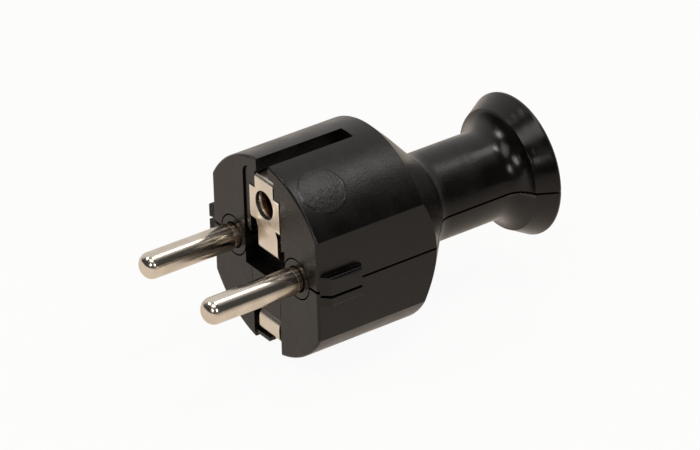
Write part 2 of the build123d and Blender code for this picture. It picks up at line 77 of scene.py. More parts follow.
class Slot(Enum):
    """Material slots of the record, by what they cover."""

    SHELL = "shell_plastic"
    CARRIER = "carrier_plastic"
    PIN = "pin_nickel"
    STRIP = "strip_nickel"
    ZINC = "zinc_steel"
    BRASS = "insert_brass"


class Tree:
    """Short way to add nodes to one node tree and to wire them."""

    def __init__(self, tree: bpy.types.NodeTree) -> None:
        """Takes the tree to work in.

        Args:
            tree: Node tree of a material, a world or a group.
        """
        self.tree = tree

    def add(self, kind: str, inputs: dict | None = None, **settings: object) -> bpy.types.Node:
        """Adds a node, sets its properties and fills its inputs.

        Args:
            kind: Type of the node, without the leading "ShaderNode".
            inputs: Input name or number, with a constant or an output socket to link.
            **settings: Properties of the node.

        Returns:
            The new node.
        """
        node = self.tree.nodes.new(kind if kind.startswith("Node") else "ShaderNode" + kind)
        for name, value in settings.items():
            setattr(node, name, value)
        for key, value in (inputs or {}).items():
            socket = node.inputs[key]
            if isinstance(value, bpy.types.NodeSocket):
                self.tree.links.new(value, socket)
            else:
                socket.default_value = value
        return node

    def math(self, operation: str, *values: object, clamp: bool = False) -> bpy.types.NodeSocket:
        """Adds a Math node and returns its output."""
        node = self.add("Math", dict(enumerate(values)), operation=operation, use_clamp=clamp)
        return node.outputs[0]

    def blend(self, factor: object, first: object, second: object) -> bpy.types.NodeSocket:
        """Mixes two colours by a factor and returns the colour."""
        node = self.add("Mix", {0: factor, 6: first, 7: second}, data_type="RGBA")
        return node.outputs[2]

    def ramp(self, value: object, low: float, high: float, start: float = 0.0,
             end: float = 1.0) -> bpy.types.NodeSocket:
        """Maps a value from one range to another, smoothly and clamped, and returns it."""
        inputs = {"Value": value, "From Min": low, "From Max": high, "To Min": start, "To Max": end}
        return self.add("MapRange", inputs, interpolation_type="SMOOTHSTEP").outputs["Result"]

    def place(self) -> bpy.types.NodeSocket:
        """Returns the point of the object that is shaded."""
        return self.add("TexCoord").outputs["Object"]

    def noise(self, place: object, scale: object, detail: float) -> bpy.types.NodeSocket:
        """Adds a noise texture and returns its value."""
        return self.add("TexNoise", {"Vector": place, "Scale": scale, "Detail": detail}).outputs["Fac"]

    def vector(self, operation: str, first: object, second: object) -> bpy.types.Node:
        """Adds a node that works on two vectors and returns the node."""
        return self.add("VectorMath", {0: first, 1: second}, operation=operation)

    def dot(self, first: object, second: object) -> bpy.types.NodeSocket:
        """Returns the dot product of two vectors."""
        return self.vector("DOT_PRODUCT", first, second).outputs["Value"]

    def link(self, value: bpy.types.NodeSocket, socket: bpy.types.NodeSocket) -> None:
        """Wires an output socket to an input socket."""
        self.tree.links.new(value, socket)


def new_group(name: str, inputs: dict[str, object],
              outputs: dict[str, str]) -> tuple[Tree, bpy.types.Node, bpy.types.Node]:
    """Makes an empty shader node group with named sockets.

    Args:
        name: Name of the group.
        inputs: Input name with its default, a number or a colour of four numbers.
        outputs: Output name with its kind, "Float", "Color" or "Vector".

    Returns:
        The group's tree, its input node and its output node.
    """
    group = bpy.data.node_groups.new(name, "ShaderNodeTree")
    for label, default in inputs.items():
        kind = "NodeSocketColor" if isinstance(default, tuple) else "NodeSocketFloat"
        socket = group.interface.new_socket(label, in_out="INPUT", socket_type=kind)
        socket.default_value = default
    for label, kind in outputs.items():
        group.interface.new_socket(label, in_out="OUTPUT", socket_type="NodeSocket" + kind)
    tree = Tree(group)
    return tree, tree.add("NodeGroupInput"), tree.add("NodeGroupOutput")


class Effects:
    """Shader node groups that the finishes share, each built once."""

    def __init__(self) -> None:
        """Builds the groups."""
        self.grain = self._grain()
        self.rounding = self._rounding()
        self.specks = self._specks()
        self.drawn = self._drawn()
        self.turned = self._turned()

    @staticmethod
    def _grain() -> bpy.types.NodeTree:
        """Fine pebbled skin of a spark-eroded mould.

        Returns:
            Group with Size in, and Height and Mottle out.
        """
        finer, coarser, fine_share = 1.7, 0.09, 0.9
        patchy: Span = (0.36, 0.62, 0.35, 1.0)
        mottled: Span = (0.3, 0.7)
        tree, source, out = new_group("moulded_grain", {"Size": 0.25 * MM},
                                      {"Height": "Float", "Mottle": "Float"})
        place = tree.place()
        scale = tree.math("DIVIDE", 1.0, source.outputs["Size"])
        pebbles = tree.add("TexVoronoi", {"Vector": place, "Scale": scale}, feature="SMOOTH_F1")
        fine = tree.noise(place, tree.math("MULTIPLY", scale, finer), 3.0)
        cloud = tree.noise(place, tree.math("MULTIPLY", scale, coarser), 4.0)
        height = tree.math("MULTIPLY_ADD", fine, fine_share, pebbles.outputs["Distance"])
        tree.link(tree.math("MULTIPLY", height, tree.ramp(cloud, *patchy)), out.inputs["Height"])
        tree.link(tree.ramp(cloud, *mottled), out.inputs["Mottle"])
        return tree.tree

    @staticmethod
    def _rounding() -> bpy.types.NodeTree:
        """Small radius that tooling leaves on every edge, with a mask of where it is; the finishes paint a
        highlight along edges with that mask.

        Returns:
            Group with Radius in, and Normal and Edge out.
        """
        flat, turned = 0.995, 0.86
        tree, source, out = new_group("edge_rounding", {"Radius": 0.1 * MM},
                                      {"Normal": "Vector", "Edge": "Float"})
        rounded = tree.add("Bevel", {"Radius": source.outputs["Radius"]}, samples=6).outputs[0]
        facing = tree.dot(rounded, tree.add("NewGeometry").outputs["Normal"])
        tree.link(rounded, out.inputs["Normal"])
        tree.link(tree.ramp(facing, flat, turned), out.inputs["Edge"])
        return tree.tree

    @staticmethod
    def _specks() -> bpy.types.NodeTree:
        """Sparse pale dust specks and lint, thicker on what faces up.

        Returns:
            Group with Base, Dust, Amount and Size in, and Color out.
        """
        rarity, largest = 6.0, 0.028
        settling: Span = (-0.6, 0.9, 0.35, 1.0)
        tree, source, out = new_group(
            "dust_specks",
            {"Base": (0.01, 0.01, 0.01, 1.0), "Dust": (0.16, 0.15, 0.13, 1.0), "Amount": 0.5,
             "Size": 2.4 * MM},
            {"Color": "Color"})
        scale = tree.math("DIVIDE", 1.0, source.outputs["Size"])
        cells = tree.add("TexVoronoi", {"Vector": tree.place(), "Scale": scale}, feature="F1")
        pick = tree.add("SeparateColor", {"Color": cells.outputs["Color"]}).outputs[0]
        radius = tree.math("MULTIPLY", tree.math("POWER", pick, rarity), largest)
        speck = tree.math("LESS_THAN", cells.outputs["Distance"], radius)
        up = tree.add("SeparateXYZ", {"Vector": tree.add("NewGeometry").outputs["Normal"]}).outputs["Z"]
        settled = tree.math("MULTIPLY", speck, tree.ramp(up, *settling))
        mask = tree.math("MULTIPLY", settled, source.outputs["Amount"], clamp=True)
        tree.link(tree.blend(mask, source.outputs["Base"], source.outputs["Dust"]), out.inputs["Color"])
        return tree.tree

    @staticmethod
    def _drawn() -> bpy.types.NodeTree:
        """Fine lines of drawn or rolled metal along Y, with faint blotches of the plating.

        Returns:
            Group with Width and Stretch in, and Height and Blotch out.
        """
        blotch_scale = 0.035
        blotched: Span = (0.35, 0.68)
        tree, source, out = new_group("drawn_lines", {"Width": 0.12 * MM, "Stretch": 0.04},
                                      {"Height": "Float", "Blotch": "Float"})
        place = tree.place()
        fine = tree.math("DIVIDE", 1.0, source.outputs["Width"])
        long = tree.math("MULTIPLY", fine, source.outputs["Stretch"])
        axes = tree.add("CombineXYZ", {"X": fine, "Y": long, "Z": fine}).outputs[0]
        lines = tree.noise(tree.vector("MULTIPLY", place, axes).outputs[0], 1.0, 4.0)
        blotch = tree.noise(place, tree.math("MULTIPLY", fine, blotch_scale), 5.0)
        tree.link(lines, out.inputs["Height"])
        tree.link(tree.ramp(blotch, *blotched), out.inputs["Blotch"])
        return tree.tree

    @staticmethod
    def _turned() -> bpy.types.NodeTree:
        """Short fine scratches round the long axis, as left by polishing a mould on a lathe.

        Returns:
            Group with Width and Reach in, and Height out.
        """
        tree, source, out = new_group("turned_lines", {"Width": 0.13 * MM, "Reach": 1.3}, {"Height": "Float"})
        parts = tree.add("SeparateXYZ", {"Vector": tree.place()})
        x, z = parts.outputs["X"], parts.outputs["Z"]
        square = tree.math("ADD", tree.math("MULTIPLY", x, x), tree.math("MULTIPLY", z, z))
        away = tree.math("ADD", parts.outputs["Y"], tree.math("SQRT", square))
        row = tree.math("DIVIDE", away, source.outputs["Width"])
        round_way = tree.math("MULTIPLY", tree.math("ARCTAN2", x, z), source.outputs["Reach"])
        lines = tree.noise(tree.add("CombineXYZ", {"X": row, "Y": round_way}).outputs[0], 1.0, 3.0)
        tree.link(lines, out.inputs["Height"])
        return tree.tree


@dataclass(frozen=True)
class Witness:
    """Round mark that a blanked-off insert of the mould leaves, a little flatter than the round body."""

    turn: float = 32.3
    along: float = 5.6 * MM
    radius: float = 4.4 * MM
    body_radius: float = 18.4 * MM
    seen_from: float = 0.6
    flattened: float = 0.2
    fading: float = 0.3 * MM
    step: float = 0.04 * MM
    step_inset: float = 0.1 * MM
    patch: float = 3.0 * MM
    wear_and_sheen: tuple[float, float] = (0.42, 0.6)
    lump: float = 0.8 * MM
    lump_depth: float = 0.06 * MM

    def height(self, tree: Tree) -> bpy.types.NodeSocket:
        """Adds the mark's height in metres to a material and returns it.

        Args:
            tree: Node tree of the material.
        """
        angle = math.radians(self.turn)
        place = tree.vector("SUBTRACT", tree.place(), (0, self.along, 0)).outputs["Vector"]
        across = tree.dot(place, (math.cos(angle), 0, -math.sin(angle)))
        out = tree.dot(place, (math.sin(angle), 0, math.cos(angle)))
        along = tree.add("SeparateXYZ", {"Vector": place}).outputs["Y"]
        square = tree.math("MULTIPLY", across, across)
        away = tree.math("SQRT", tree.math("MULTIPLY_ADD", along, along, square))
        inside = tree.ramp(away, self.radius, self.radius - self.fading)
        facing = tree.math("GREATER_THAN", out, self.seen_from * self.body_radius)
        dish = self.flattened / (2 * self.body_radius)
        flat = tree.math("MULTIPLY", tree.math("MULTIPLY", square, dish), inside)
        off_ring = tree.math("ABSOLUTE", tree.math("SUBTRACT", away, self.radius - self.step_inset))
        ridge = tree.ramp(off_ring, 0.0, self.fading, self.step, 0.0)
        patches = tree.noise(place, 1 / self.patch, 1.0)
        ridge = tree.math("MULTIPLY", ridge, tree.ramp(patches, *self.wear_and_sheen))
        lumps = tree.math("MULTIPLY", tree.noise(place, 1 / self.lump, 3.0), self.lump_depth)
        lumps = tree.math("MULTIPLY", lumps, inside)
        return tree.math("MULTIPLY", tree.math("ADD", tree.math("ADD", flat, ridge), lumps), facing)


def toned(colour: Colour, strength: float) -> tuple[float, ...]:
    """Returns a colour made lighter or darker, with its fourth number."""
    return (*[strength * part for part in colour], 1)


@dataclass(frozen=True)
class Plastic:
    """Moulded black plastic: grained on the body and polished on the handle."""

    name: str
    colour: Colour
    roughness: float
    polish: float
    polish_from: float
    grain_size: float
    grain_depth: float
    edge_radius: float
    dust: float
    turned_depth: float = 0.0
    turned_from: float = 44 * MM
    turned_fade: float = 4 * MM
    turned_start: float = 0.15
    polish_fade: float = 2.5 * MM
    polished_grain: float = 0.25
    tones: tuple[float, float] = (0.8, 1.2)
    # The edge tone and its share lighten the colour along every edge: a painted highlight.
    sheen_tone: float = 2.6
    edge_sheen: float = 0.35
    matt_spread: float = 0.07
    gloss_spread: float = 0.05
    refraction: float = 1.44
    witness: Witness | None = None

    def material(self, effects: Effects) -> bpy.types.Material:
        """Builds the material.

        Args:
            effects: Shared node groups.

        Returns:
            The finished material.
        """
        made = bpy.data.materials.new(self.name)
        made.use_nodes = True
        tree = Tree(made.node_tree)
        shader = tree.tree.nodes["Principled BSDF"]
        along = tree.add("SeparateXYZ", {"Vector": tree.place()}).outputs["Y"]
        polished = tree.ramp(along, self.polish_from - self.polish_fade, self.polish_from + self.polish_fade)
        grain = tree.add("Group", node_tree=effects.grain)
        grain.inputs["Size"].default_value = self.grain_size
        edge = tree.add("Group", node_tree=effects.rounding)
        edge.inputs["Radius"].default_value = self.edge_radius
        mottle = grain.outputs["Mottle"]
        tone = tree.blend(mottle, *[toned(self.colour, strength) for strength in self.tones])
        # The edge mask lightens the colour toward a paler tone: a painted highlight along every edge.
        edge_sheen_mask = tree.math("MULTIPLY", edge.outputs["Edge"], self.edge_sheen)
        wear_and_sheen = tree.blend(edge_sheen_mask, tone, toned(self.colour, self.sheen_tone))
        dust = tree.add("Group", {"Base": wear_and_sheen, "Amount": self.dust}, node_tree=effects.specks)
        matt = tree.math("MULTIPLY_ADD", mottle, self.matt_spread, self.roughness - self.matt_spread / 2)
        gloss = tree.math("MULTIPLY_ADD", mottle, self.gloss_spread, self.polish - self.gloss_spread / 2)
        rough = tree.add("Mix", {0: polished, 2: matt, 3: gloss}, data_type="FLOAT").outputs[0]
        height = tree.math("MULTIPLY", grain.outputs["Height"], self._grain_depth(tree, polished))
        if self.turned_depth:
            lathe = tree.ramp(along, self.turned_from, self.turned_from + self.turned_fade,
                              self.turned_start * self.turned_depth, self.turned_depth)
            lines = tree.add("Group", node_tree=effects.turned).outputs["Height"]
            height = tree.math("MULTIPLY_ADD", lines, lathe, height)
        if self.witness:
            height = tree.math("ADD", height, self.witness.height(tree))
        bump = tree.add("Bump", {"Height": height, "Normal": edge.outputs["Normal"]})
        bump.inputs["Strength"].default_value = 1.0
        bump.inputs["Distance"].default_value = 1.0
        tree.link(dust.outputs["Color"], shader.inputs["Base Color"])
        tree.link(rough, shader.inputs["Roughness"])
        tree.link(bump.outputs[0], shader.inputs["Normal"])
        shader.inputs["IOR"].default_value = self.refraction
        return made

    def _grain_depth(self, tree: Tree, polished: bpy.types.NodeSocket) -> bpy.types.NodeSocket:
        """Returns the depth of the grain, which is shallow where the mould is polished."""
        lost = (1 - self.polished_grain) * self.grain_depth
        return tree.math("MULTIPLY_ADD", polished, -lost, self.grain_depth)


@dataclass(frozen=True)
class Metal:
    """Plated or plain metal with drawn lines and a faintly blotched skin."""

    name: str
    colour: Colour
    tint: Colour
    roughness: float
    spread: float
    line_width: float
    stretch: float
    line_depth: float
    edge_radius: float
    # Depths along Y between which the colour goes over to a darker tone: painted shade down the sleeve's
    # bore, a browner base on the pins.
    darken_from: float = 0.0
    darken_to: float = 0.0
    dark_tone: Colour = (0.05, 0.03, 0.02)
    dull_from: float = 0.0
    dull_to: float = 0.0
    dulled: float = 0.0
    # Pale colour and its share, blended in along edges: a painted highlight.
    edge_colour: Colour = (0.9, 0.88, 0.84)
    edge_share: float = 0.3

    def material(self, effects: Effects) -> bpy.types.Material:
        """Builds the material.

        Args:
            effects: Shared node groups.

        Returns:
            The finished material.
        """
        made = bpy.data.materials.new(self.name)
        made.use_nodes = True
        tree = Tree(made.node_tree)
        shader = tree.tree.nodes["Principled BSDF"]
        drawn = tree.add("Group", node_tree=effects.drawn)
        drawn.inputs["Width"].default_value = self.line_width
        drawn.inputs["Stretch"].default_value = self.stretch
        edge = tree.add("Group", node_tree=effects.rounding)
        edge.inputs["Radius"].default_value = self.edge_radius
        blotch, lines = drawn.outputs["Blotch"], drawn.outputs["Height"]
        skin = tree.blend(blotch, (*self.colour, 1), (*self.tint, 1))
        # The edge mask blends in the pale edge colour: a painted highlight along edges.
        edge_sheen_mask = tree.math("MULTIPLY", edge.outputs["Edge"], self.edge_share)
        colour = tree.blend(edge_sheen_mask, skin, (*self.edge_colour, 1))
        rough = tree.math("MULTIPLY_ADD", blotch, self.spread, self.roughness)
        rough = tree.math("MULTIPLY_ADD", lines, self.spread, rough)
        along = tree.add("SeparateXYZ", {"Vector": tree.place()}).outputs["Y"]
        # Darker tone between two depths along Y: painted shade down the sleeve's bore, and a browner tone
        # toward the face on the pins.
        if self.darken_to > self.darken_from:
            darkened = tree.ramp(along, self.darken_from, self.darken_to)
            colour = tree.blend(darkened, colour, (*self.dark_tone, 1))
        if self.dull_to > self.dull_from:
            dull = tree.ramp(along, self.dull_from, self.dull_to, 0.0, self.dulled)
            rough = tree.math("MULTIPLY_ADD", blotch, dull, rough)
        bump = tree.add("Bump", {"Height": lines, "Normal": edge.outputs["Normal"]})
        bump.inputs["Strength"].default_value = 1.0
        bump.inputs["Distance"].default_value = self.line_depth
        tree.link(colour, shader.inputs["Base Color"])
        tree.link(rough, shader.inputs["Roughness"])
        tree.link(bump.outputs[0], shader.inputs["Normal"])
        shader.inputs["Metallic"].default_value = 1.0
        return made


FINISHES = {
    Slot.SHELL: Plastic(
        "shell_plastic", colour=(0.0030, 0.0026, 0.0024), roughness=0.29, polish=0.17, polish_from=42 * MM,
        grain_size=0.33 * MM, grain_depth=0.022 * MM, edge_radius=0.06 * MM, dust=0.5,
        turned_depth=0.022 * MM, witness=Witness()),
    Slot.CARRIER: Plastic(
        "carrier_plastic", colour=(0.0040, 0.0036, 0.0033), roughness=0.26, polish=0.24, polish_from=27 * MM,
        grain_size=0.25 * MM, grain_depth=0.006 * MM, edge_radius=0.06 * MM, dust=0.4),
    # The pins go darker and browner toward the face.
    Slot.PIN: Metal(
        "pin_nickel", colour=(0.80, 0.745, 0.66), tint=(0.72, 0.655, 0.56), roughness=0.13, spread=0.06,
        line_width=0.10 * MM, stretch=0.03, line_depth=0.0012 * MM, edge_radius=0.1 * MM,
        darken_from=-9 * MM, darken_to=2 * MM, dark_tone=(0.36, 0.29, 0.21), dull_from=-7 * MM,
        dull_to=-1.5 * MM, dulled=0.12),
    Slot.STRIP: Metal(
        "strip_nickel", colour=(0.86, 0.81, 0.73), tint=(0.79, 0.73, 0.64), roughness=0.24, spread=0.05,
        line_width=0.14 * MM, stretch=0.2, line_depth=0.0012 * MM, edge_radius=0.0),
    Slot.ZINC: Metal(
        "zinc_steel", colour=(0.56, 0.57, 0.58), tint=(0.50, 0.50, 0.49), roughness=0.3, spread=0.1,
        line_width=0.1 * MM, stretch=0.3, line_depth=0.002 * MM, edge_radius=0.1 * MM),
    Slot.BRASS: Metal(
        "insert_brass", colour=(0.62, 0.43, 0.18), tint=(0.54, 0.36, 0.15), roughness=0.26, spread=0.1,
        line_width=0.1 * MM, stretch=0.3, line_depth=0.002 * MM, edge_radius=0.1 * MM),
}
# Dark brown from 1.15 mm back: painted shade down the sleeve's bore.
SLEEVE_FINISH = Metal(
    "sleeve_nickel", colour=(0.84, 0.79, 0.71), tint=(0.77, 0.71, 0.62), roughness=0.2, spread=0.06,
    line_width=0.14 * MM, stretch=0.2, line_depth=0.0012 * MM, edge_radius=0.05 * MM,
    darken_from=1.15 * MM, darken_to=1.55 * MM, dark_tone=(0.10, 0.055, 0.035))


@dataclass
class Dresser:
    """Gives every frame node the finish of its record slot."""

    effects: Effects
    materials: dict[str, bpy.types.Material] = field(default_factory=dict)

    def material(self, slot: Slot) -> bpy.types.Material:
        """Returns the finish of a slot, building it at its first use."""
        if slot.value not in self.materials:
            self.materials[slot.value] = FINISHES[slot].material(self.effects)
        return self.materials[slot.value]

    def sleeve(self) -> bpy.types.Material:
        """Returns the finish of the earth sleeve, with painted shade darkening it down its bore."""
        return SLEEVE_FINISH.material(self.effects)

    def dress_nodes(self) -> None:
        """Assigns a finish to each node of the frame."""
        for row in frame["record"]["subparts"]:
            node = frame["nodes"][row["node"]]
            node.data.materials.clear()
            slot = Slot(row["material_slot"])
            finish = self.sleeve() if row["node"] == "earth_sleeve" else self.material(slot)
            node.data.materials.append(finish)
            log.info("%s wears %s", row["node"], row["material_slot"])


def place_piece(piece: bpy.types.Object, node: str, finish: bpy.types.Material) -> None:
    """Puts a piece in the scene in the place of a frame node.

    Args:
        piece: New object.
        node: Frame node that it stands for.
        finish: Material of the piece.
    """
    bpy.context.scene.collection.objects.link(piece)
    piece.data.materials.clear()
    piece.data.materials.append(finish)
    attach(piece, "root")
    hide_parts(node)
    log.info("%s stands for %s", piece.name, node)


@dataclass
class Housing:
    """The two moulded shells, with the crowned grip ribs that their flats carry."""

    dresser: Dresser
    flat: float = 15.7 * MM
    face: float = 17.1 * MM
    rib_top: float = 3.4 * MM
    rounding: float = 0.3 * MM
    crown_drop: float = 0.5 * MM
    crown_spread: tuple[float, float] = (1.2, 3.6)
    ramp_end: float = 1.95 * MM
    rib_end: float = 9.0 * MM
    front: float = 0.45 * MM
    left_front: float = 0.03 * MM
    parting: float = 0.15 * MM
    worn_parting: float = 0.21 * MM
    eased: tuple[tuple[float, float], ...] = (
        (20.0 * MM, 20.0 * MM), (22.0 * MM, 22.27 * MM), (24.7 * MM, 24.95 * MM), (32.2 * MM, 31.7 * MM),
        (36.0 * MM, 36.0 * MM), (43.0 * MM, 43.0 * MM), (45.8 * MM, 46.4 * MM), (50.0 * MM, 50.35 * MM),
        (54.4 * MM, 54.15 * MM))

    def build(self) -> None:
        """Makes both shells from the frame's own, with their ribs, seam and knob eased."""
        for name in ("upper_shell", "lower_shell"):
            mesh = frame["nodes"][name].data.copy()
            mesh.name = name + "_moulding"
            for vertex in mesh.vertices:
                vertex.co = self._reshape(vertex.co)
            piece = bpy.data.objects.new(mesh.name, mesh)
            place_piece(piece, name, self.dresser.material(Slot.SHELL))

    def _reshape(self, co: Vector) -> Vector:
        """Returns a shell's point, moved for the rib's crown, the left rib's front, the seam or the knob.

        Args:
            co: Point of a shell.
        """
        hair = 0.01 * MM
        x, y, z = co
        out = abs(x) - self.flat
        below = self.rib_top - z
        on_rib = out > hair
        if on_rib and x < 0 and y < self.ramp_end + hair:
            y = self.front + (self.left_front - self.front) * out / (self.face - self.flat)
        if out > -hair and y < self.rib_end + hair and -hair < below < self.rounding + hair:
            along = (co.y - self.front) / (self.rib_end - self.front)
            spread = self.crown_spread[0] + (self.crown_spread[1] - self.crown_spread[0]) * along
            z = self.rib_top - self.crown_drop - below * spread
        if abs(abs(z) - self.parting) < hair:
            z = math.copysign(self.worn_parting, z)
        for (low, new_low), (high, new_high) in zip(self.eased, self.eased[1:]):
            if low < co.y <= high + hair:
                y = new_low + (new_high - new_low) * (co.y - low) / (high - low)
        return Vector((x, y, z))


@dataclass
class FoldedStrip:
    """Stamped and folded earth strip with soft bends and stamped edges."""

    dresser: Dresser
    name: str
    node: str
    path: tuple[tuple[float, float, float], ...]
    half_width: float
    cuts: tuple[tuple[float, float, float], ...] = ()
    hole: tuple[float, float] | None = None
    thickness: float = 0.8 * MM
    edge: float = 0.09 * MM
    edge_angle: float = 40.0
    sharp_angle: float = 38.0
    screw_hole: float = 1.65 * MM
    screw_along: float = 17.4 * MM
    bend_step: float = 6.0
    hole_sides: int = 72
    drill_length: float = 4 * MM
    block_reach: float = 6 * MM
    block_length: float = 60 * MM
    block_middle: float = 10 * MM

    def build(self) -> None:
        """Sweeps the strip, cuts its outline and holes, and rounds its edges."""
        mesh = self._sweep()
        cutters = [self._block(*cut, hand) for cut in self.cuts for hand in (-1, 1)]
        cutters.append(self._drill(self.screw_hole, (0, self.screw_along, 0), "Z"))
        if self.hole:
            cutters.append(self._drill(self.hole[0], (0, 0, self.hole[1]), "X"))
        piece = bpy.data.objects.new(self.name, self._carved(mesh, cutters))
        softened = piece.modifiers.new("stamped_edge", "BEVEL")
        softened.width, softened.segments = self.edge, 2
        softened.limit_method, softened.angle_limit = "ANGLE", math.radians(self.edge_angle)
        softened.harden_normals = True
        for face in piece.data.polygons:
            face.use_smooth = True
        piece.data.set_sharp_from_angle(angle=math.radians(self.sharp_angle))
        place_piece(piece, self.node, self.dresser.material(Slot.STRIP))

    def _centre_line(self) -> list[Vector]:
        """Returns the centre line as points of Y and Z, with an arc at each inner corner."""
        corners = [Vector(point[:2]) for point in self.path]
        line = [corners[0]]
        for number in range(1, len(corners) - 1):
            before = (corners[number - 1] - corners[number]).normalized()
            after = (corners[number + 1] - corners[number]).normalized()
            half = before.angle(after) / 2
            radius = self.path[number][2]
            centre = corners[number] + (before + after).normalized() * (radius / math.sin(half))
            first = corners[number] + before * (radius / math.tan(half)) - centre
            last = corners[number] + after * (radius / math.tan(half)) - centre
            angle = first.angle(last)
            steps = max(4, int(math.degrees(angle) / self.bend_step))
            for step in range(steps + 1):
                way = step / steps
                spoke = (first * math.sin((1 - way) * angle) + last * math.sin(way * angle)) / math.sin(angle)
                line.append(centre + spoke)
        return line + [corners[-1]]

    def _sweep(self) -> bpy.types.Mesh:
        """Returns the strip at full width along its centre line."""
        line = self._centre_line()
        shape = bmesh.new()
        rings = []
        for number, point in enumerate(line):
            ahead = line[min(number + 1, len(line) - 1)] - line[max(number - 1, 0)]
            across = Vector((-ahead.y, ahead.x)).normalized() * (self.thickness / 2)
            rings.append([shape.verts.new((hand * self.half_width, *(point + across * sign)))
                          for hand, sign in ((-1, -1), (1, -1), (1, 1), (-1, 1))])
        for first, second in zip(rings, rings[1:]):
            for corner in range(4):
                following = (corner + 1) % 4
                shape.faces.new((first[corner], first[following], second[following], second[corner]))
        shape.faces.new(rings[0][::-1])
        shape.faces.new(rings[-1])
        bmesh.ops.recalc_face_normals(shape, faces=shape.faces)
        mesh = bpy.data.meshes.new(self.name)
        shape.to_mesh(mesh)
        shape.free()
        return mesh

    def _block(self, width: float, low: float, high: float, hand: int) -> bpy.types.Object:
        """Returns a block that cuts one side of the strip down to a half width, between two heights."""
        shape = bmesh.new()
        bmesh.ops.create_cube(shape, size=1.0)
        for vertex in shape.verts:
            x, y, z = vertex.co
            vertex.co = Vector((hand * (width + self.block_reach * (x + 0.5)),
                                self.block_length * y + self.block_middle, low + (high - low) * (z + 0.5)))
        if hand < 0:
            bmesh.ops.reverse_faces(shape, faces=shape.faces)
        return self._cutter(shape)

    def _drill(self, radius: float, place: tuple[float, float, float], axis: str) -> bpy.types.Object:
        """Returns a rod that cuts a hole: along Y if turned about X, or upright if turned about Z."""
        shape = bmesh.new()
        bmesh.ops.create_cone(shape, cap_ends=True, segments=self.hole_sides, radius1=radius, radius2=radius,
                              depth=self.drill_length)
        turn = Matrix.Translation(place) @ Matrix.Rotation(math.pi / 2, 4, axis)
        bmesh.ops.transform(shape, matrix=turn, verts=shape.verts)
        return self._cutter(shape)

    @staticmethod
    def _cutter(shape: bmesh.types.BMesh) -> bpy.types.Object:
        """Turns a shape into an object that only cuts."""
        mesh = bpy.data.meshes.new("cutter")
        shape.to_mesh(mesh)
        shape.free()
        cutter = bpy.data.objects.new("cutter", mesh)
        bpy.context.scene.collection.objects.link(cutter)
        return cutter

    def _carved(self, mesh: bpy.types.Mesh, cutters: list[bpy.types.Object]) -> bpy.types.Mesh:
        """Cuts a mesh with each cutter in turn, deletes the cutters and returns the new mesh."""
        blank = bpy.data.objects.new("blank", mesh)
        bpy.context.scene.collection.objects.link(blank)
        for cutter in cutters:
            cut = blank.modifiers.new("cut", "BOOLEAN")
            cut.operation, cut.solver, cut.object = "DIFFERENCE", "EXACT", cutter
        shaped = blank.evaluated_get(bpy.context.evaluated_depsgraph_get())
        result = bpy.data.meshes.new_from_object(shaped)
        result.name = self.name
        for used in (blank, *cutters):
            bpy.data.objects.remove(used)
        return result


def earth_strips(dresser: Dresser) -> tuple[FoldedStrip, FoldedStrip]:
    """Returns the earth plate and the lower earth strip.

    Each path lists the folds of the centre line as Y, Z and inner radius, from the side contact or the
    terminal on. Each cut gives a half width with its lowest and highest Z, and the hole its radius and Z.

    Args:
        dresser: Gives the strips their finish.

    Returns:
        Both strips, ready to build.
    """
    plate = FoldedStrip(
        dresser, "earth_plate_stamping", "earth_plate",
        ((16.4 * MM, 14.95 * MM, 0), (0.6 * MM, 14.95 * MM, 0.7 * MM), (0.6 * MM, 6.6 * MM, 5 * MM),
         (1.1 * MM, 4.4 * MM, 5 * MM), (1.1 * MM, 0.4 * MM, 0.7 * MM), (20.2 * MM, 0.4 * MM, 0)),
        half_width=4.4 * MM, cuts=((2.7 * MM, 12.3 * MM, 20 * MM), (2.9 * MM, -2 * MM, 6.1 * MM)),
        hole=(2.65 * MM, 10 * MM))
    clip = FoldedStrip(
        dresser, "lower_earth_stamping", "lower_earth_strip",
        ((20.2 * MM, -0.4 * MM, 0), (10.6 * MM, -0.4 * MM, 0.7 * MM), (10.6 * MM, -11.7 * MM, 0.7 * MM),
         (0.7 * MM, -11.7 * MM, 1.9 * MM), (0.7 * MM, -15.9 * MM, 1.15 * MM), (16.4 * MM, -15.9 * MM, 0)),
        half_width=3 * MM)
    return plate, clip


@dataclass(frozen=True)
class Lamp:
    """Rectangular lamp: where it hangs, seen from the plug, how large it is and how bright its face is."""

    name: str
    bearing: float
    height: float
    width: float
    depth: float
    radiance: float
    distance: float = 0.9

    def hang(self, aim: Vector) -> None:
        """Hangs the lamp and turns it to the plug.

        Args:
            aim: Point that the lamp faces.
        """
        turn, rise = math.radians(self.bearing), math.radians(self.height)
        away = Vector((math.sin(turn) * math.cos(rise), math.cos(turn) * math.cos(rise), math.sin(rise)))
        lamp = bpy.data.lights.new(self.name, "AREA")
        lamp.shape = "RECTANGLE"
        lamp.color = LAMP_COLOUR
        lamp.size, lamp.size_y = self.width, self.depth
        lamp.energy = self.radiance * math.pi * self.width * self.depth
        stand = bpy.data.objects.new(self.name, lamp)
        stand.location = aim + away * self.distance
        stand.rotation_mode = "QUATERNION"
        stand.rotation_quaternion = away.to_track_quat("Z", "Y")
        bpy.context.scene.collection.objects.link(stand)


LAMP_COLOUR = (1.0, 0.955, 0.925)
LAMPS = (
    Lamp("overhead_softbox", 4, 61, width=0.26, depth=0.20, radiance=2.5),
    Lamp("top_lamp", 30, 75, width=0.18, depth=0.13, radiance=16.0),
    Lamp("back_lamp", -146, 54, width=0.15, depth=0.17, radiance=17.0),
    Lamp("right_lamp", 98, 27, width=0.12, depth=0.16, radiance=16.0),
    Lamp("front_lamp", 144, 26, width=0.10, depth=0.20, radiance=17.0),
    Lamp("crown_softbox", 135, 64, width=0.50, depth=0.34, radiance=2.4),
)


